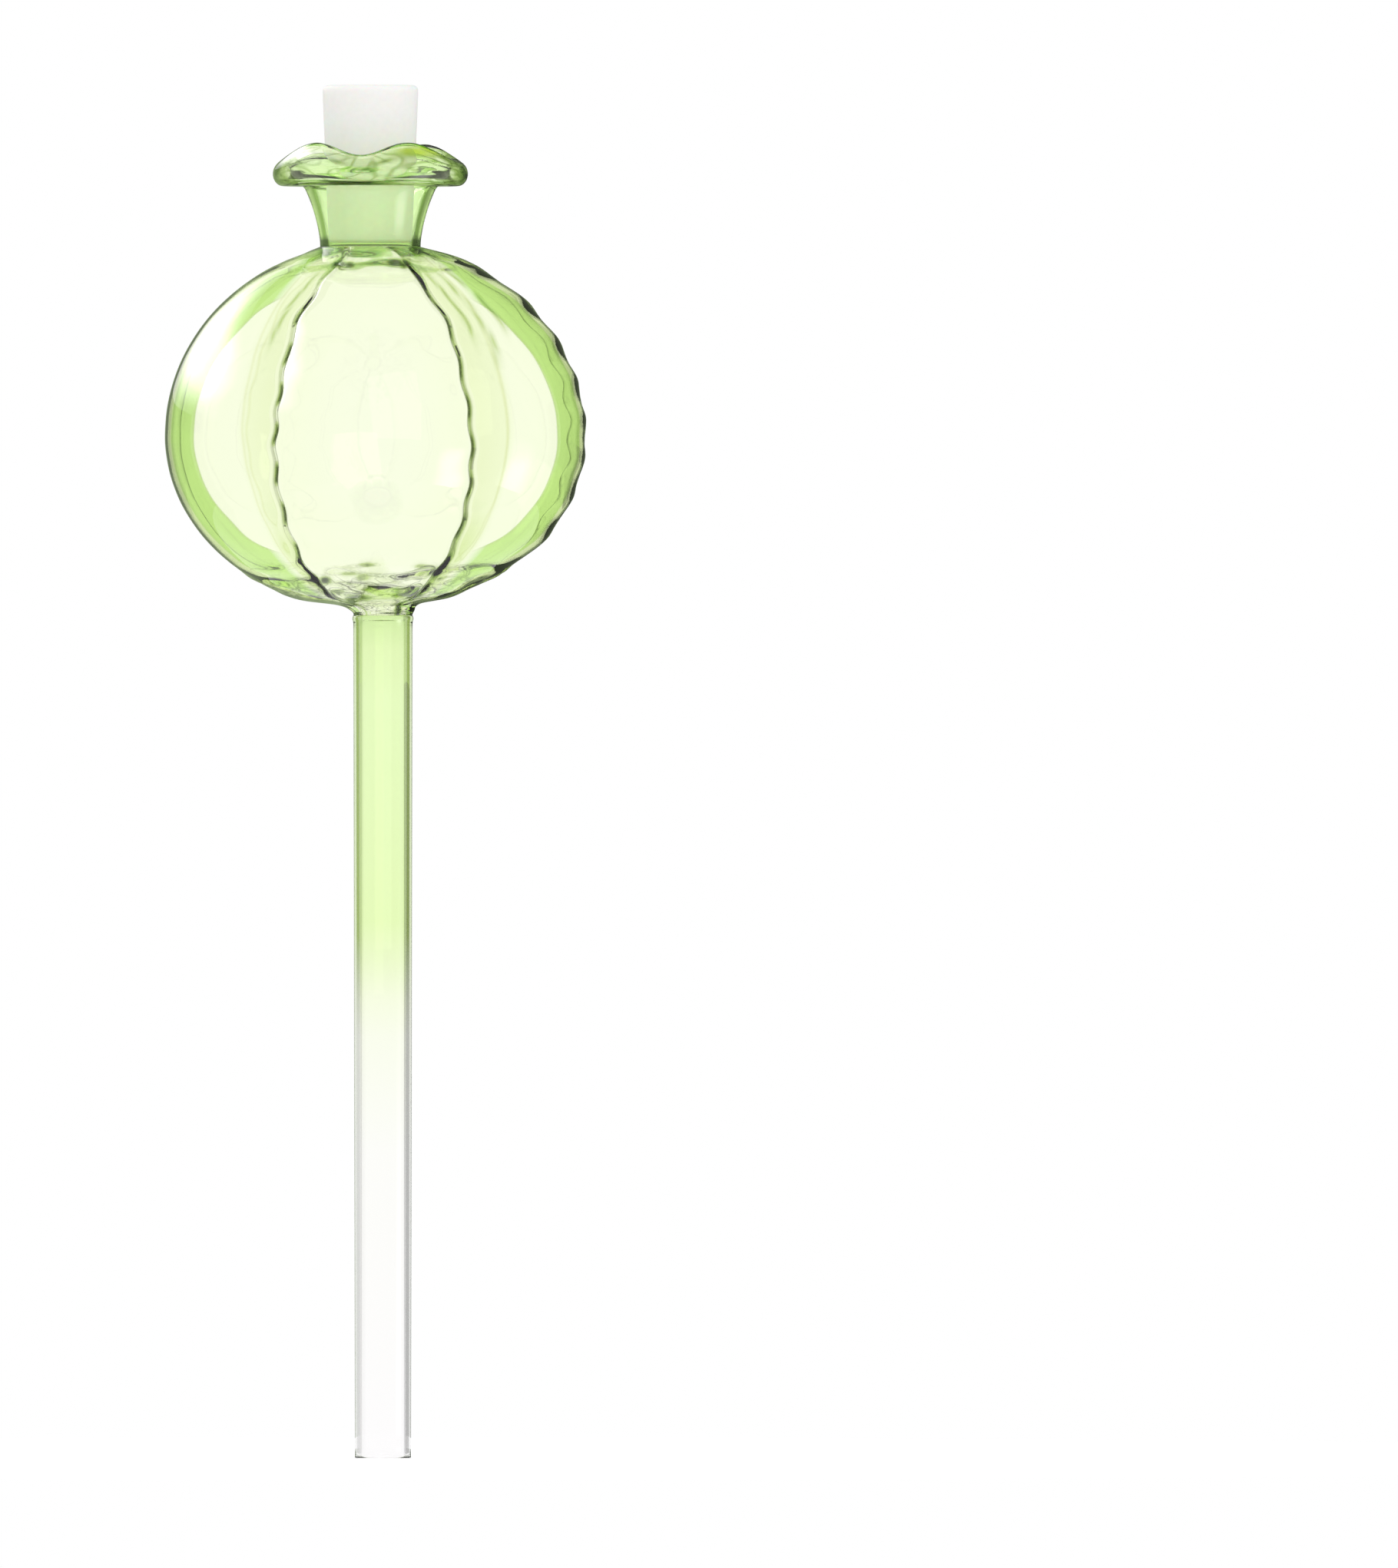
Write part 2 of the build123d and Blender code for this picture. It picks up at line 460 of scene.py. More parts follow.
# %% Ruffle of the rim
roll_radius, roll_middle, roll_half_width, roll_half_height = 16.7, 13.9, 1.95, 2.3
ruffle_height, front_lift, ruffles, ruffle_turn, ruffle_pinch = 2.7, 1.2, 4, radians(-6), 0.22
roll_top = roll_middle + roll_half_height


def ruffle(turn):
    """How far the top of the roll is lifted at a turn about the neck."""
    place = turn - ruffle_turn
    wave = ruffles * (place - ruffle_pinch * sin(2 * place))
    return ruffle_height * (1 - cos(wave)) / 2 + front_lift * sin(place) ** 2


def roll_section(angles, inset=0):
    """Rows round the roll, set in from its skin: none of the ruffle underneath, all of it on top."""
    rows = []
    for turn in (radians(angle) for angle in angles):
        radius = roll_radius + (roll_half_width - inset) * cos(turn)
        height = roll_middle + (roll_half_height - inset) * sin(turn)
        rows.append((radius, height, (1 + (1 - inset / roll_half_height) * sin(turn)) / 2))
    return rows


lifts = [ruffle(radians(angle)) for angle in range(360)]
print("the rim's top is lifted by", round(min(lifts), 2), "to", round(max(lifts), 2), "mm")

# %% [markdown]
# Thick turned glass is not of one colour, and it bends light. Shade is painted under the fold of the
# rim, nearly black at its front, and in fine dark lines that run inside the roll and bunch up at its
# two ends. One patch has gone amber, and one has a painted highlight so pale that it looks empty. As
# on the bulb, numbers on the points say where.

# %% Painted shade, amber glass and a painted highlight in the rim
# Turns about the neck, in degrees, with the front at 270.
front_turn, fold_turn, right_end, left_end, amber_turn, highlight_turn = 270, 254, 358, 192, 302, 231
neck_steps = 240


def turn_bell(turn, middle, width):
    """A bell about a turn, with all three in degrees."""
    return bell((turn - middle + 180) % 360 - 180, 0, width)


def rim_marks(radius, turn, up):
    """How much shade is painted, how amber the glass is, and how much highlight is painted, at a turn and a
    height.
    """
    angle, below_top = degrees(turn), roll_top + ruffle(turn) - up
    # Painted shade under the fold, along the lines inside the roll and where they bunch at its ends.
    fold = 2.4 * bell(up, 11.95, 0.45) * bell(radius, 17.4, 1.3)
    fold *= 0.15 + 0.85 * turn_bell(angle, fold_turn, 22)
    inner_line = 0.85 * bell(below_top, 2.4, 0.25) * (radius > 14.5)
    inner_line *= 0.4 + 0.6 * turn_bell(angle, front_turn, 50)
    squiggle = noise.noise((2.6 * cos(turn), 2.6 * sin(turn), up / 1.6))
    ends = turn_bell(angle, right_end, 22) + 0.6 * turn_bell(angle, left_end, 16)
    bunched = 1.1 * ends * bell(squiggle, 0.05, 0.13) * (up > 12.2)
    amber = 1.5 * turn_bell(angle, amber_turn, 15) * bell(up, 18.2, 0.9)
    # A painted highlight: where pale is 1 the glass is cleared, so the white studio shows through.
    pale = 1.3 * turn_bell(angle, highlight_turn, 11) * bell(up, 16.9, 1.2)
    return min(max(fold, inner_line, bunched), 1), min(amber, 1), pale


def turns_round(count):
    """The given number of turns, spaced evenly about an axis."""
    return [step * tau / count for step in range(count)]


def neck_ring(radius, height, share, outside=True):
    """One ring of the neck, lifted by its share of the ruffle."""
    ring = []
    for turn in turns_round(neck_steps):
        up = height + share * ruffle(turn)
        marks = (*rim_marks(radius, turn, up), 1) if outside else (0, 0, 0, 0)
        ring.append((neck_offset + radius * cos(turn), radius * sin(turn), neck_foot + up, *marks))
    return ring


print("the fold is darkest", front_turn - fold_turn, "degrees to the left of the front")

# %% [markdown]
# The neck is one skin, up the outside, round the roll and down the inside. The channel in the roll
# is a ring of its own whose skin faces inwards. A boolean would cut it too, but joining the two
# meshes is quicker and keeps the numbers on the points.

# %% Neck
outer_wall = [(9.6, joint_gap, 0), (9.7, 1.6, 0), (10.2, 4.4, 0), (11.1, 7.6, 0), (12.2, 10.4, 0)]
outer_wall += [(12.75, 11.35, 0), (13.3, 11.72, 0), (14.6, 11.66, 0)]
inner_wall = [(13.4, 14.3, 0.28), (12.3, 13.4, 0.05), (11.0, 11.0, 0)]
inner_wall += [(9.8, 7.6, 0), (8.85, 4.4, 0), (8.2, 1.6, 0), (8.0, joint_gap, 0)]
channel_inset = 0.5
# dark is painted shade, amber is glass of another colour, and pale is a painted highlight.
neck_marks = ("dark", "amber", "pale", "skin")

neck_rings = [neck_ring(*row) for row in smooth_rows(outer_wall, 60) + roll_section(range(-90, 156, 12))]
neck_rings += [neck_ring(*row, outside=False) for row in smooth_rows(inner_wall, 32)]
neck = skin_rings("neck", neck_rings, marks=neck_marks)
channel_rows = roll_section(range(180, -180, -12), inset=channel_inset)
channel = skin_rings("channel", [neck_ring(*row, outside=False) for row in channel_rows], marks=neck_marks)

both = bmesh.new()
both.from_mesh(neck.data)
both.from_mesh(channel.data)
both.to_mesh(neck.data)
both.free()
bpy.data.objects.remove(channel)
print("neck with its channel:", len(neck.data.vertices), "points")

# %% [markdown]
# The stem is drawn tube, so it is straight and even, a hair thicker at the top. Where the bulb was
# joined on in the flame there is a small swollen seam, and the tip is cut off square, its edges
# just melted round. A cylinder would lack all three, so it is rings again.

# %% Stem
stem_steps = 96
top_radius, tip_radius, bore_share = 5.65, 5.35, 0.83
first_row, row_height, row_count = 0.5, 1.5, 107
seam_swell, seam_below, seam_width = 0.2, 0.6, 0.5


def stem_ring(radius, height, skin=0):
    """One ring of the tube; skin tells its outside from its bore."""
    return [(radius * cos(turn), radius * sin(turn), height, skin) for turn in turns_round(stem_steps)]


def stem_radius(height):
    seam = seam_swell * bell(height, stem_length - seam_below, seam_width)
    return tip_radius + (top_radius - tip_radius) * height / stem_length + seam


# The melted edge of the tip: places from its bore, at 0.72, to its outside, at 1, and their heights.
tip_bore, tip_wall = 0.72, 0.18
tip = [(0.72, 0.12), (0.84, 0.0), (0.97, 0.02), (0.995, 0.1), (1.0, 0.3)]
tip_rows = [
    (stem_radius(0) * (bore_share + tip_wall * (out - tip_bore) / (1 - tip_bore)), height)
    for out, height in tip
]
heights = [first_row + row_height * step for step in range(row_count)]
heights += [160.0, 160.3, 160.6, 160.8, stem_length - joint_gap]
stem_rows = [(stem_radius(height), height, 1) for height in heights]
stem_rows += [(bore_share * tip_radius, height) for height in reversed(heights)]
stem = skin_rings("stem", [stem_ring(*row) for row in tip_rows + stem_rows], marks=("skin",))

# %% [markdown]
# The stopper is a soft silicone plug. It tapers to wedge in the neck's funnel, its rims are
# rounded, and its top has a shallow dish where the mould was filled. It is solid, so its skin is
# one stack of rings from the foot to the dish, closed at both ends by a tiny cap.

# %% Stopper
seat = neck_foot + 0.7
stopper_length, stopper_top, stopper_foot = 30.2, 9.2, 7.95
rim_rounding, rim_inset, dish_depth, cap_radius = 1.1, 0.05, 0.3, 0.05
side_foot, side_rows, stopper_steps = 0.7, 24, 128

stopper_rows = [(cap_radius, 0.35), (5.0, 0.3), (7.0, 0.02), (7.5, 0.05), (7.82, 0.25), (7.93, side_foot)]
for step in range(1, side_rows + 1):
    height = side_foot + (stopper_length - 2 * rim_rounding) * step / side_rows
    stopper_rows.append((stopper_foot + (stopper_top - stopper_foot) * height / stopper_length, height))
for turn in (radians(angle) for angle in range(15, 91, 15)):
    radius = stopper_top - rim_rounding - rim_inset + rim_rounding * cos(turn)
    stopper_rows.append((radius, stopper_length - rim_rounding + rim_rounding * sin(turn)))
for radius, below in ((7.2, 0.05), (6.4, 0.22), (3.0, dish_depth), (cap_radius, dish_depth)):
    stopper_rows.append((radius, stopper_length - below))


def stopper_ring(radius, height):
    turns = turns_round(stopper_steps)
    return [(neck_offset + radius * cos(turn), radius * sin(turn), seat + height) for turn in turns]


stopper = skin_rings("plug", [stopper_ring(*row) for row in stopper_rows], closed=False, capped=True)

# %% [markdown]
# Four materials follow, and all are built from the same few nodes. One helper adds a node of any
# kind with its inputs. Short ones on top of it return an output and keep the recipes readable: a
# ramp of colours, a calculation, and a value spread over a range.

# %% Nodes for the materials
def fresh_material(name):
    material = bpy.data.materials.new(name)
    material.use_nodes = True
    tree = material.node_tree
    return material, tree, tree.nodes["Principled BSDF"]


def feed(tree, node, inputs):
    """Gives inputs of a node what they take: a number, a vector, a colour or another node's output."""
    for slot, value in inputs.items():
        socket = node.inputs[slot]
        if isinstance(value, bpy.types.NodeSocket):
            tree.links.new(value, socket)
        else:
            socket.default_value = (*value, 1) if socket.type == "RGBA" else value


def add_node(tree, kind, inputs=None, **settings):
    """A new node of a kind, with its settings and its inputs."""
    node = tree.nodes.new(f"ShaderNode{kind}")
    for setting, value in settings.items():
        setattr(node, setting, value)
    feed(tree, node, inputs or {})
    return node


def ramp(tree, stops, source):
    """A colour ramp fed by source, with stops of place and colour."""
    node = add_node(tree, "ValToRGB", {0: source})
    while len(node.color_ramp.elements) < len(stops):
        node.color_ramp.elements.new(0.5)
    for element, (place, colour) in zip(node.color_ramp.elements, stops):
        element.position = place
        element.color = (*colour, 1)
    return node.outputs[0]


def calc(tree, operation, *values):
    """A math node; each value is a number or a socket."""
    return add_node(tree, "Math", dict(enumerate(values)), operation=operation).outputs[0]


def spread(tree, value, low, high, first=0.0, last=1.0, kind="LINEAR"):
    """A value from low to high, spread over the numbers from first to last and held at them beyond."""
    ends = {"Value": value, "From Min": low, "From Max": high, "To Min": first, "To Max": last}
    return add_node(tree, "MapRange", ends, interpolation_type=kind).outputs[0]


print("pieces that wait for a finish:", [piece.name for piece in (bulb, neck, stem, stopper)])

# %% [markdown]
# A finish is put together in layers. Each takes the colour so far and changes it where a mask says
# so. White, which is clear glass here, leaves what it multiplies as it was.

# %% Layers of colour
def blend(tree, share, first, second, mode="MIX"):
    """Mixes two colours, each a tuple or a socket, by a share."""
    layers = {"Factor": share, "A": first, "B": second}
    return add_node(tree, "Mix", layers, data_type="RGBA", blend_type=mode).outputs["Result"]


def times(tree, first, second):
    """One colour multiplied by another."""
    return blend(tree, 1.0, first, second, "MULTIPLY")


def grey(level):
    return level, level, level


clear, off = grey(1), grey(0)
print("clear glass is", clear, "and a mask is off at", off)

# %% [markdown]
# The next helpers read where a point is: the numbers that it carries, its place in its own object
# and how far its surface turns away from the eye. The last drives the painted shade at the edges of
# glass: there the light has the longest way through the wall, and the bent light shows darker
# surroundings, which the ramps on it paint in as colour.

# %% Places and angles for the materials
def point_number(tree, name):
    """A number that the points of a mesh carry."""
    return add_node(tree, "Attribute", attribute_name=name).outputs["Fac"]


def object_place(tree):
    return add_node(tree, "TexCoord").outputs["Object"]


def split(tree, vector):
    """The outputs X, Y and Z of a vector."""
    return add_node(tree, "SeparateXYZ", {0: vector}).outputs


def turned_away(tree, normal=None):
    """0 where the surface, or a given normal, faces the eye, and 1 where it is seen edge on."""
    given = {} if normal is None else {"Normal": normal}
    return add_node(tree, "LayerWeight", {"Blend": 0.5, **given}).outputs["Facing"]


def cloud(tree, place, scale, detail=1.0, distortion=0.0):
    look = {"Vector": place, "Scale": scale, "Detail": detail, "Distortion": distortion}
    return add_node(tree, "TexNoise", look).outputs[0]


def stretched(tree, place, factor):
    """A place whose height is multiplied by a factor, to draw a texture out or press it flat."""
    return add_node(tree, "Mapping", {"Vector": place, "Scale": (1, 1, factor)}).outputs[0]


point_numbers = [number.name for number in bulb.data.attributes if number.data_type == "FLOAT"]
print("the points of the bulb carry:", point_numbers)

# %% [markdown]
# Hand-blown glass is never quite even. A soft bump, drawn out along the tube on the stem, bends
# what is seen through it. It stays very shallow, for the shapes themselves do most of the bending.

# %% Plain glass
def blown_bump(tree, shader, scale, depth, stretch=1):
    """The faint unevenness of hand-blown or drawn glass; returns its noise."""
    grain = cloud(tree, stretched(tree, object_place(tree), 1 / stretch), scale, detail=2)
    bump = add_node(tree, "Bump", {"Strength": 1, "Distance": depth, "Height": grain})
    feed(tree, shader, {"Normal": bump.outputs[0]})
    return grain


def glass(name, bump_depth, stretch=1):
    """A clear, smooth glass, with its node tree and its shader."""
    material, tree, shader = fresh_material(name)
    feed(tree, shader, {"Transmission Weight": 1, "Roughness": 0, "IOR": 1.47})
    blown_bump(tree, shader, 60, bump_depth, stretch)
    return material, tree, shader


def dye(tree, colour, density):
    """Colour in the glass itself, which deepens with the way that light goes through it."""
    absorption = add_node(tree, "VolumeAbsorption", {"Color": colour, "Density": density})
    feed(tree, tree.nodes["Material Output"], {"Volume": absorption.outputs[0]})


bulb_glass, tree, shader = glass("bulb glass", 0.000008)
dye(tree, (0.861, 0.995, 0.324), 140)
print("made", bulb_glass.name)

# %% [markdown]
# The side lobes of the bulb show a deep green crescent just inside the outline, where the wall is
# seen at a slant and bends darker surroundings into view. The crescent and the dark outline are
# painted shade, and the lighter strip between them is painted light: stops of one ramp on the
# angle. The front lobe has no such edge. Its sides slant too, but the direction straight out from
# the bulb's axis does not, so the angle of that direction keeps the crescents off it.

# %% Painted shade at the edges of the bulb
crescent_rim_shade, crescent_shade = (0.34, 0.56, 0.13), (0.39, 0.74, 0.13)
painted_light_strip, painted_dark_outline = (0.80, 0.95, 0.52), (0.10, 0.14, 0.06)
# Painted shade for the crescent and the outline, with a strip of painted light between them.
edge_shade_stops = [(0.0, clear), (0.395, clear), (0.405, crescent_rim_shade), (0.43, crescent_shade), (0.70, crescent_shade)]
edge_shade_stops += [(0.73, painted_light_strip), (0.80, painted_light_strip), (0.85, painted_dark_outline), (1.0, painted_dark_outline)]
painted_edge_shade = ramp(tree, edge_shade_stops, turned_away(tree))

from_axis = {0: object_place(tree), 1: (1, 1, 0), 2: (-bulb_offset * mm, 0, 0)}
outward = add_node(tree, "VectorMath", from_axis, operation="MULTIPLY_ADD").outputs[0]
outward = add_node(tree, "VectorMath", {0: outward}, operation="NORMALIZE").outputs[0]
crescent_mask = spread(tree, turned_away(tree, outward), 0.20, 0.25)
tint = blend(tree, calc(tree, "MULTIPLY", crescent_mask, point_number(tree, "skin")), clear, painted_edge_shade)
print("a crescent lies where turned_away gives", edge_shade_stops[2][0], "to", edge_shade_stops[5][0])

# %% [markdown]
# The bands beside the creases are a shade greener and end in a fine darker line. Low down they deepen,
# where the glass is gathered towards the foot. The collar under the neck is plain deep green.

# %% Bands and collar
band_green, band_end_green = (0.885, 0.93, 0.74), (0.80, 0.84, 0.60)
band_stops = [(0.0, clear), (0.23, clear), (0.24, band_green), (0.72, (0.93, 0.965, 0.83))]
band_stops += [(0.76, band_end_green), (0.80, (0.96, 0.98, 0.92)), (0.88, clear)]
across_band = calc(tree, "MULTIPLY_ADD", point_number(tree, "band"), 0.77, 0.24)
tint = times(tree, tint, ramp(tree, band_stops, across_band))
tint = blend(tree, point_number(tree, "collar"), tint, (0.50, 0.74, 0.28))

share_up = spread(tree, split(tree, object_place(tree))["Z"], stem_length * mm, neck_foot * mm)
low_stops = [(0.02, (0.62, 0.78, 0.36)), (0.16, (0.80, 0.89, 0.60)), (0.28, clear)]
in_band = ramp(tree, [(0.22, off), (0.25, clear), (0.60, clear), (0.95, off)], across_band)
tint = blend(tree, in_band, tint, times(tree, tint, ramp(tree, low_stops, share_up)))
deep_height = round(low_stops[-1][0] * (neck_foot - stem_length))
print("the bands deepen below", deep_height, "mm above the joint")

# %% [markdown]
# Where the glass was worked, at the foot and under the neck, it is drawn into dark swirls. They
# follow the lines along which a twisted noise passes its middle value, which a narrow dark stop in
# a ramp picks out. Last of all, the number for the crease lines and drops paints their shade onto
# the skin.

# %% Swirls and painted dark lines of the bulb
dark_swirl = (0.04, 0.07, 0.01)
swirl_stops = [(0.0, (0.6, 0.7, 0.4)), (0.30, clear), (0.44, clear), (0.48, dark_swirl), (0.515, dark_swirl)]
swirl_stops += [(0.56, clear), (0.68, (0.7, 0.8, 0.5))]
swirls = ramp(tree, swirl_stops, cloud(tree, object_place(tree), 150, distortion=1.6))
worked_stops = [(0.0, grey(0.3)), (0.05, grey(0.7)), (0.085, grey(0.65)), (0.12, off)]
worked_stops += [(0.955, off), (0.985, grey(0.4))]
worked = calc(tree, "MULTIPLY", ramp(tree, worked_stops, share_up), point_number(tree, "skin"))
tint = blend(tree, worked, tint, times(tree, tint, swirls))

# Painted shade for the crease lines, drops and drawn lines, from clear to nearly black.
painted_shade_stops = [(0.0, clear), (0.5, (0.42, 0.55, 0.2)), (0.85, (0.10, 0.17, 0.03)), (1.0, (0.004, 0.01, 0.0))]
tint = times(tree, tint, ramp(tree, painted_shade_stops, point_number(tree, "line")))
feed(tree, shader, {"Base Color": tint})
bulb.data.materials.append(bulb_glass)
print(bulb_glass.name, "has", len(tree.nodes), "nodes")

# %% [markdown]
# The neck is a deeper green than the bulb, all of it in the same hue, with shade painted where its
# wall is seen edge on. The thick ring at its foot is darker still, and shade is painted nearly black
# at its two corners. More dye alone would dull the whole neck, so ramps on the angle and on the
# height do most of the work.

# %% Glass of the neck
body_green, roll_green, neck_edge_shade = (0.76, 0.98, 0.50), (0.86, 0.98, 0.64), (0.30, 0.44, 0.13)
neck_glass, tree, shader = glass("neck glass", 0.00001)
dye(tree, (0.643, 0.99, 0.108), 50)
neck_place, facing = object_place(tree), turned_away(tree)
# 0 at the foot of the neck, and 1 at 20 mm above it, near the top of the rim.
neck_span, roll_start = 20, 0.56
above_foot = calc(tree, "SUBTRACT", split(tree, neck_place)["Z"], neck_foot * mm)
above_foot = calc(tree, "MULTIPLY", above_foot, 1 / (neck_span * mm))
on_roll = ramp(tree, [(roll_start, off), (0.60, clear)], above_foot)

# Painted shade where the neck's wall is seen edge on, deepest on the roll.
wall_shade_stops = [(0.0, clear), (0.45, clear), (0.52, neck_edge_shade), (0.60, neck_edge_shade), (0.68, (0.75, 0.82, 0.55))]
roll_shade_stops = [(0.0, clear), (0.38, clear), (0.52, (0.34, 0.46, 0.16)), (0.70, (0.10, 0.16, 0.04))]
painted_edge_shade = blend(tree, on_roll, ramp(tree, wall_shade_stops, facing), ramp(tree, roll_shade_stops, facing))
tint = times(tree, painted_edge_shade, blend(tree, on_roll, body_green, roll_green))
foot_stops = [(0.0, (0.55, 0.66, 0.34)), (0.04, (0.62, 0.74, 0.40)), (0.07, clear), (1.0, clear)]
tint = times(tree, tint, ramp(tree, foot_stops, above_foot))
print("the roll's own green starts", round(roll_start * neck_span, 1), "mm above the neck's foot")

# %% [markdown]
# The roll was turned in the flame, which left fine dark lines running round it: the same trick as
# the swirls, with the noise pressed flat. Over them go the painted shade at the corners of the foot
# and the numbers of the rim. Painted shade multiplies; amber replaces, because it is glass of
# another colour, and so does pale, whose clear glass paints a highlight.

# %% Lines and patches of the neck
fine_line = (0.42, 0.52, 0.24)
line_stops = [(0.0, clear), (0.455, clear), (0.49, fine_line), (0.51, fine_line), (0.545, clear)]
turned = cloud(tree, stretched(tree, neck_place, 2.6), 90, distortion=0.8)
tint = blend(tree, on_roll, tint, times(tree, tint, ramp(tree, line_stops, turned)))
# Painted shade, nearly black, at the foot's corners where they are seen edge on.
corner_shade = ramp(tree, [(0.40, off), (0.47, clear)], facing)
at_foot = ramp(tree, [(0.06, clear), (0.12, off)], above_foot)
tint = blend(tree, calc(tree, "MULTIPLY", corner_shade, at_foot), tint, (0.03, 0.05, 0.02))
tint = blend(tree, point_number(tree, "amber"), tint, (0.50, 0.69, 0.05))
# The rim's painted shade, from its dark number.
tint = times(tree, tint, ramp(tree, painted_shade_stops, point_number(tree, "dark")))
# The pale patch is a painted highlight: its glass turns clear and lets the white studio through.
tint = blend(tree, point_number(tree, "pale"), tint, clear)
tint = blend(tree, point_number(tree, "skin"), clear, tint)
feed(tree, shader, {"Base Color": tint})
neck.data.materials.append(neck_glass)
print(neck_glass.name, "has", len(tree.nodes), "nodes")

# %% [markdown]
# The green of the stem fades to clear glass half way down, where the coloured rod was drawn out
# into a clear one. The height of a point drives the fade. Where the tube is green, a thin line of
# painted shade stands just inside each of its edges, where the wall is seen edge on, on the outer
# skin only.

# %% Glass of the stem
stem_glass, tree, shader = glass("stem glass", 0.000004, stretch=8)
up_stem = calc(tree, "MULTIPLY", split(tree, object_place(tree))["Z"], 1 / (stem_length * mm))
greens = [(0.0, (0.995, 0.99, 0.992)), (0.36, (0.993, 0.993, 0.975)), (0.50, (0.98, 0.995, 0.92))]
greens += [(0.545, (0.965, 0.995, 0.87)), (0.59, (0.92, 0.985, 0.77)), (0.637, (0.885, 0.98, 0.69))]
greens += [(0.90, (0.89, 0.985, 0.715)), (0.96, (0.87, 0.965, 0.68)), (1.0, (0.80, 0.92, 0.60))]
green = ramp(tree, greens, up_stem)
# Painted shade just inside the tube's edges, where its wall is seen edge on.
line_stops = [(0.0, clear), (0.24, clear), (0.35, (0.74, 0.85, 0.50)), (0.45, (0.30, 0.43, 0.08))]
line_stops += [(0.54, (0.28, 0.40, 0.08)), (0.61, (0.88, 0.96, 0.72)), (0.66, clear)]
edge_shaded = times(tree, green, ramp(tree, line_stops, turned_away(tree)))
edge_shade_mask = calc(tree, "MULTIPLY", spread(tree, up_stem, 0.50, 0.62), point_number(tree, "skin"))
feed(tree, shader, {"Base Color": blend(tree, edge_shade_mask, green, edge_shaded)})
stem.data.materials.append(stem_glass)
print(stem_glass.name, "turns green from half way up,", round(stem_length / 2), "mm")

# %% [markdown]
# Silicone is milky: light enters it and spreads before it leaves, which is subsurface scattering.
# Its surface is satin, with hardly any gloss, and a very fine cloudiness keeps the white alive.

# %% Silicone
silicone, tree, shader = fresh_material("white silicone")
feed(tree, shader, {"Roughness": 0.5, "Specular IOR Level": 0.05, "IOR": 1.41})
feed(tree, shader, {"Subsurface Weight": 0.4, "Subsurface Scale": 0.004})
cloudiness = blown_bump(tree, shader, 900, 0.00001)
milk = ramp(tree, [(0.3, (0.93, 0.94, 0.91)), (0.7, (0.965, 0.965, 0.94))], cloudiness)
feed(tree, shader, {"Base Color": milk})
stopper.data.materials.append(silicone)
print("made", silicone.name)

# %% [markdown]
# Each piece now takes the place of its CAD node and rides on the node's body, so that the stopper
# lifts out when its joint moves. The neck casts no shadow: light that has passed a clear neck
# reaches the stopper in it, and a renderer that skips such light would leave the stopper dull.

# %% Place the pieces
for piece, node, body, slot in (
    (bulb, "globe", "glass", "bulb_glass"),
    (neck, "neck", "glass", "neck_glass"),
    (stem, "stem", "glass", "stem_glass"),
    (stopper, "stopper", "plug", "stopper_silicone"),
):
    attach(piece, body)
    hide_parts(node)
    print(piece.name, "stands for", node)
neck.visible_shadow = False

# %% [markdown]
# Glass shows what is round it, so lighting glass means placing things for it to show. The studio is
# white all round. It is pure white to the rays that the eye sees, directly or by way of the glass,
# and a little less to those that light the object, so that the white stopper keeps its form.

# %% White studio
studio_light = 0.84
scene.view_settings.view_transform = "Standard"
world = bpy.data.worlds.new("studio")
scene.world = world
world.use_nodes = True


def backdrop_rays(tree):
    """1 for the rays that show the background, straight on, mirrored or bent, and 0 for the others."""
    rays = add_node(tree, "LightPath").outputs
    direct = calc(tree, "MAXIMUM", rays["Is Camera Ray"], rays["Is Glossy Ray"])
    return calc(tree, "MAXIMUM", direct, rays["Is Transmission Ray"])


tree = world.node_tree
level = spread(tree, backdrop_rays(tree), 0, 1, studio_light, 1.0)
feed(tree, tree.nodes["Background"], {"Color": clear, "Strength": level})
print("studio light:", studio_light)

# %% [markdown]
# In a white studio the edges of clear glass vanish. A photographer stands pale and dim cards behind
# the glass, just out of view, and their bent images draw its edges. Here a card can be told which
# rays see it. The pale and dim cards show only through the glass. Two dark flags show only in its
# reflections, and draw a thin outline round it.

# %% Cards and flags
def glow(name, strength, colour=clear):
    """A material that only gives off light."""
    material, tree, shader = fresh_material(name)
    tree.nodes.remove(shader)
    light = add_node(tree, "Emission", {"Color": colour, "Strength": strength})
    feed(tree, tree.nodes["Material Output"], {"Surface": light.outputs[0]})
    return material


def sheet(name, corners, material, mirrored=False, place=(0, 0, 0), turn=(0, 0, 0)):
    """A flat face that only the glass shows: in its reflections if mirrored, or else bent through it."""
    mesh = bpy.data.meshes.new(name)
    mesh.from_pydata(corners, [], [(0, 1, 2, 3)])
    mesh.materials.append(material)
    face = bpy.data.objects.new(name, mesh)
    face.location, face.rotation_euler = place, turn
    scene.collection.objects.link(face)
    face.visible_camera = face.visible_diffuse = face.visible_shadow = face.visible_volume_scatter = False
    face.visible_glossy, face.visible_transmission = mirrored, not mirrored


def plan_point(angle, distance):
    """A plan point at an angle from the camera's side, turning to the right."""
    return distance * sin(radians(angle)), -distance * cos(radians(angle))


def card(name, first, last, low, high, material, mirrored=False):
    """A sheet that stands between two plan points."""
    sheet(name, [(*first, low), (*last, low), (*last, high), (*first, high)], material, mirrored)


card_split, card_foot, card_top, card_distance = 0.158, -0.35, 2.4, 2.5
flag_foot, flag_top, flag_distance, flag_green = -2.4, 2.8, 2.4, (0.8, 1, 0.6)
pale_card = glow("pale card", 0.75, (0.96, 1, 0.88))
dim_card = glow("dim card", 0.5)
clear_card = glow("clear card", 0.72)
right, left = 1, -1

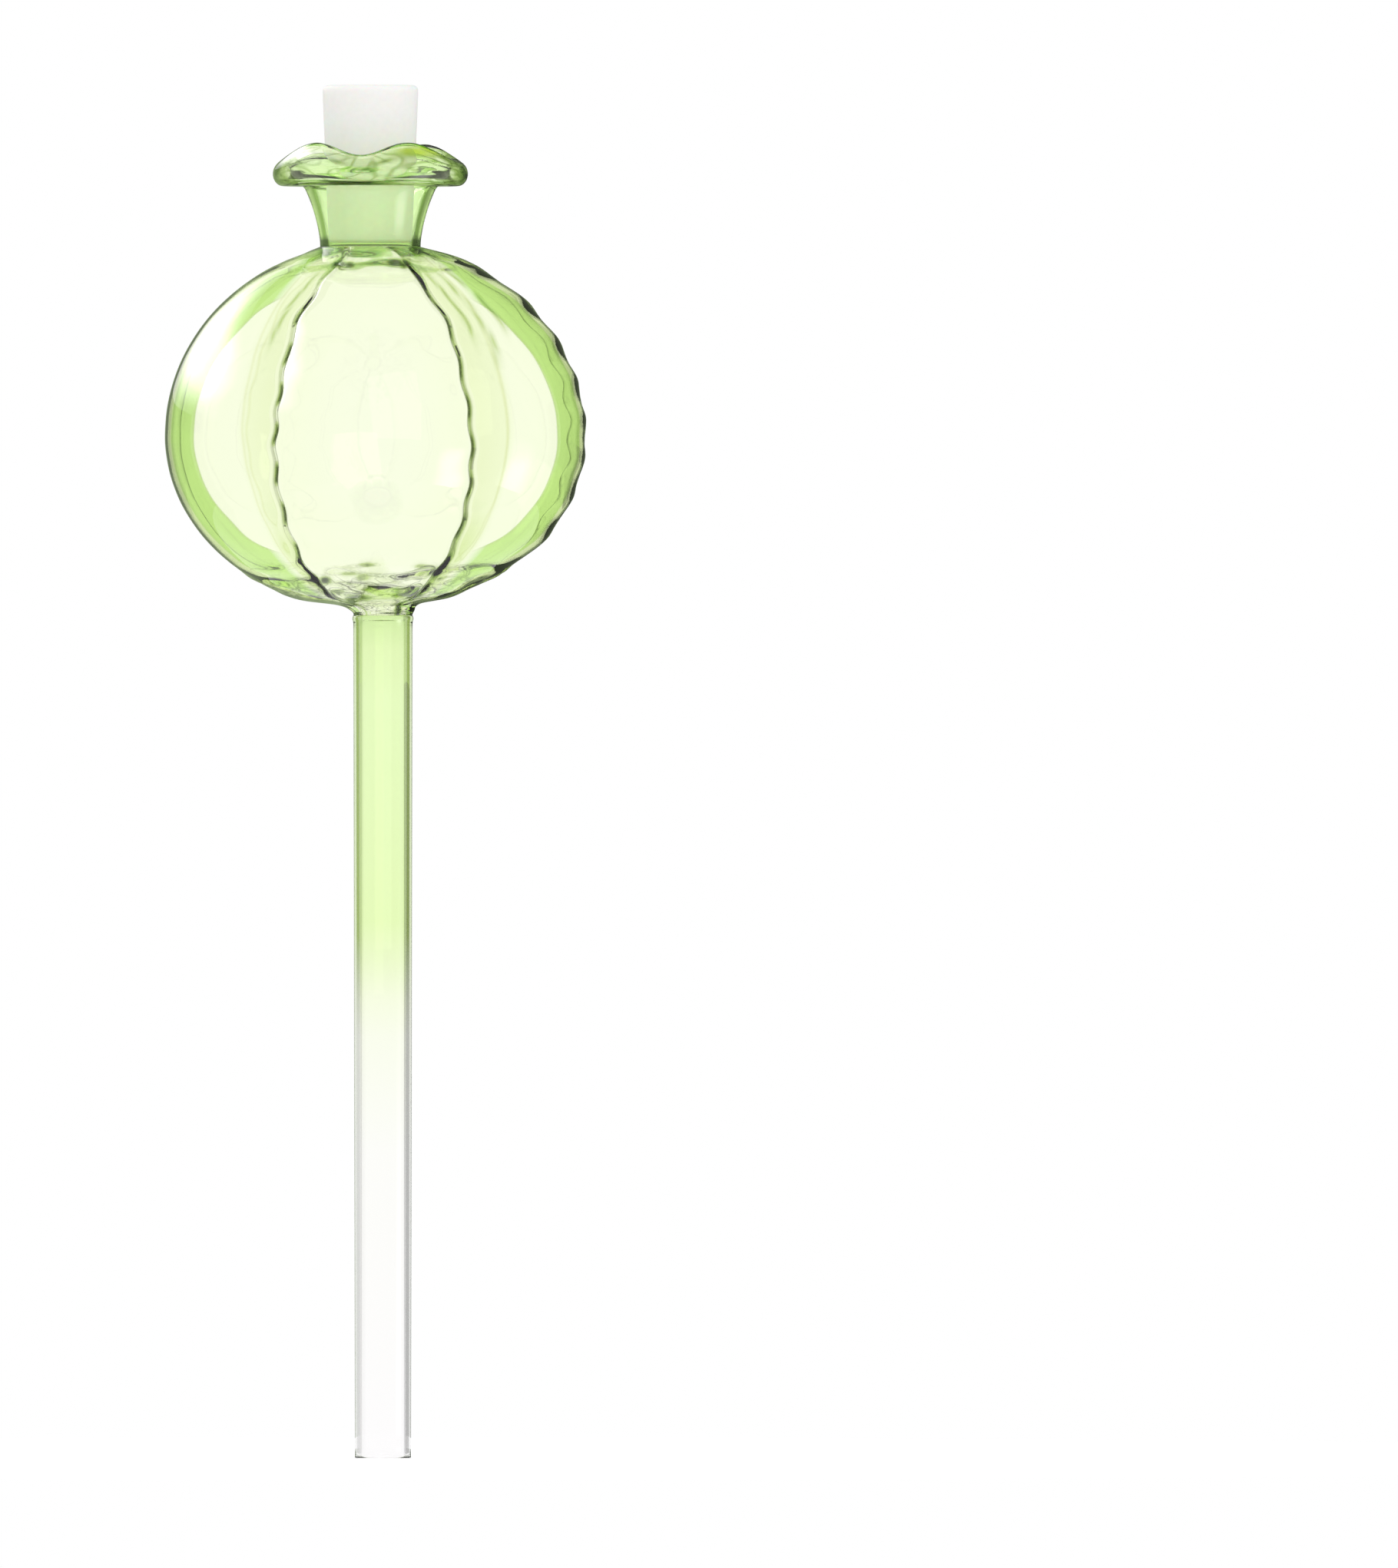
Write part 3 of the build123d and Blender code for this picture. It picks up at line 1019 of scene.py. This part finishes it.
for side, low_material in ((right, dim_card), (left, clear_card)):
    ends = plan_point(180 - 20 * side, card_distance), plan_point(180 - 72 * side, card_distance)
    card(f"high_card_{side + 1}", *ends, card_split, card_top, pale_card)
    card(f"low_card_{side + 1}", *ends, card_foot, card_split, low_material)
for side, strength in ((right, 0.15), (left, 0.4)):
    ends = plan_point(180, flag_distance), plan_point(180 - 70 * side, flag_distance)
    dark_flag = glow(f"dark flag {side + 1}", strength, flag_green)
    card(f"dark_flag_{side + 1}", *ends, flag_foot, flag_top, dark_flag, mirrored=True)
print("four cards and two flags stand behind the glass")

# %% [markdown]
# The floor is a small pale disc that keeps the object's shadow. Its glow makes up for the light
# that it lacks beside a pure white background. Rays that have gone through the glass don't see it,
# because at the open tip of the stem they would see nothing else, and the tip would vanish.

# %% Floor
floor_radius, floor_steps, floor_glow = 0.3, 96, 0.4
floor_mesh = bpy.data.meshes.new("floor")
disc = [(floor_radius * cos(turn), floor_radius * sin(turn), 0) for turn in turns_round(floor_steps)]
floor_mesh.from_pydata(disc, [], [tuple(range(floor_steps))])
floor = bpy.data.objects.new("floor", floor_mesh)
scene.collection.objects.link(floor)
pale_floor, tree, shader = fresh_material("pale floor")
shown_glow = calc(tree, "MULTIPLY", backdrop_rays(tree), floor_glow)
feed(tree, shader, {"Base Color": grey(0.8), "Roughness": 0.9, "Specular IOR Level": 0})
feed(tree, shader, {"Emission Color": clear, "Emission Strength": shown_glow})
floor_mesh.materials.append(pale_floor)
floor.visible_transmission = False
print("floor of", 2 * floor_radius, "m across")

# %% [markdown]
# Two soft lamps give the stopper its shading: a weak one at the left behind, where the photograph's
# window was, and a broad fill from the front. Area lamps are used, because a window is an area.
# They aren't seen in reflections, for their hard edges would show on the glass.

# %% Lamps
def aim(place, target):
    """The turn that points a lamp or a pane at a target."""
    return (Vector(target) - Vector(place)).to_track_quat("-Z", "Y").to_euler()


def softbox(name, place, target, width, height, power):
    lamp = bpy.data.lights.new(name, "AREA")
    lamp.shape, lamp.size, lamp.size_y, lamp.energy = "RECTANGLE", width, height, power
    box = bpy.data.objects.new(name, lamp)
    box.location, box.rotation_euler = place, aim(place, target)
    scene.collection.objects.link(box)
    box.visible_glossy = False
    return box


window_place, window_target = (-0.95, 0.5, 0.78), (0, 0, 0.2)
window = softbox("left_window", window_place, window_target, 1.1, 0.55, 1)
fill = softbox("front_fill", (0.55, -1.5, 0.75), (0, 0, 0.15), 1.4, 1.4, 6)
print("lamps:", window.name, window.data.energy, "W,", fill.name, fill.data.energy, "W")

# %% [markdown]
# What the glass mirrors of a window is a soft bright patch. A pane of its own, seen only in
# reflections, is as bright as the studio at its edges and brighter towards its middle, so that the
# patch has no edge. A second, smaller pane low at the right gives the right lobe its glow.

# %% Soft panes
def soft_pane(name, place, target, half_wide, half_high, peak):
    """A pane that glows by 1 at its edges and by the peak in its middle."""
    material = glow(f"{name} glow", 1)
    tree = material.node_tree
    spot = split(tree, add_node(tree, "TexCoord").outputs["Generated"])
    fades = []
    for axis in ("X", "Y"):
        off_middle = calc(tree, "ABSOLUTE", calc(tree, "SUBTRACT", spot[axis], 0.5))
        fades.append(spread(tree, off_middle, 0.5, 0.08, kind="SMOOTHSTEP"))
    strength = calc(tree, "MULTIPLY_ADD", calc(tree, "MULTIPLY", *fades), peak - 1.0, 1.0)
    feed(tree, tree.nodes["Emission"], {"Strength": strength})
    corners = [(x * half_wide, y * half_high, 0) for x, y in ((-1, -1), (1, -1), (1, 1), (-1, 1))]
    sheet(name, corners, material, mirrored=True, place=place, turn=aim(place, target))


soft_pane("window_pane", window_place, window_target, 1.15, 0.46, 10.0)
soft_pane("low_pane", (0.70, -0.28, -0.16), (0.026, -0.03, 0.188), 0.25, 0.32, 5.0)
print("two panes for the glass to mirror")

# %% [markdown]
# The photograph was taken level and from far off, so nearly without perspective. The camera
# stands ten metres back with a very long lens, and the object keeps its place left of the middle.
# The picture is taller than wide, so the lens is worked out from the height that it shows.

# %% Camera
away, view_height = 10.0, 0.2996
lens = bpy.data.cameras.new("camera")
lens.sensor_width = 36
lens.lens = lens.sensor_width * away / view_height
lens.clip_start, lens.clip_end = 0.1, 50
camera = bpy.data.objects.new("camera", lens)
camera.location = (0.0604, -away, 0.1288)
camera.rotation_euler = (pi / 2, 0, 0)
scene.collection.objects.link(camera)
scene.camera = camera
print("lens:", round(lens.lens), "mm")
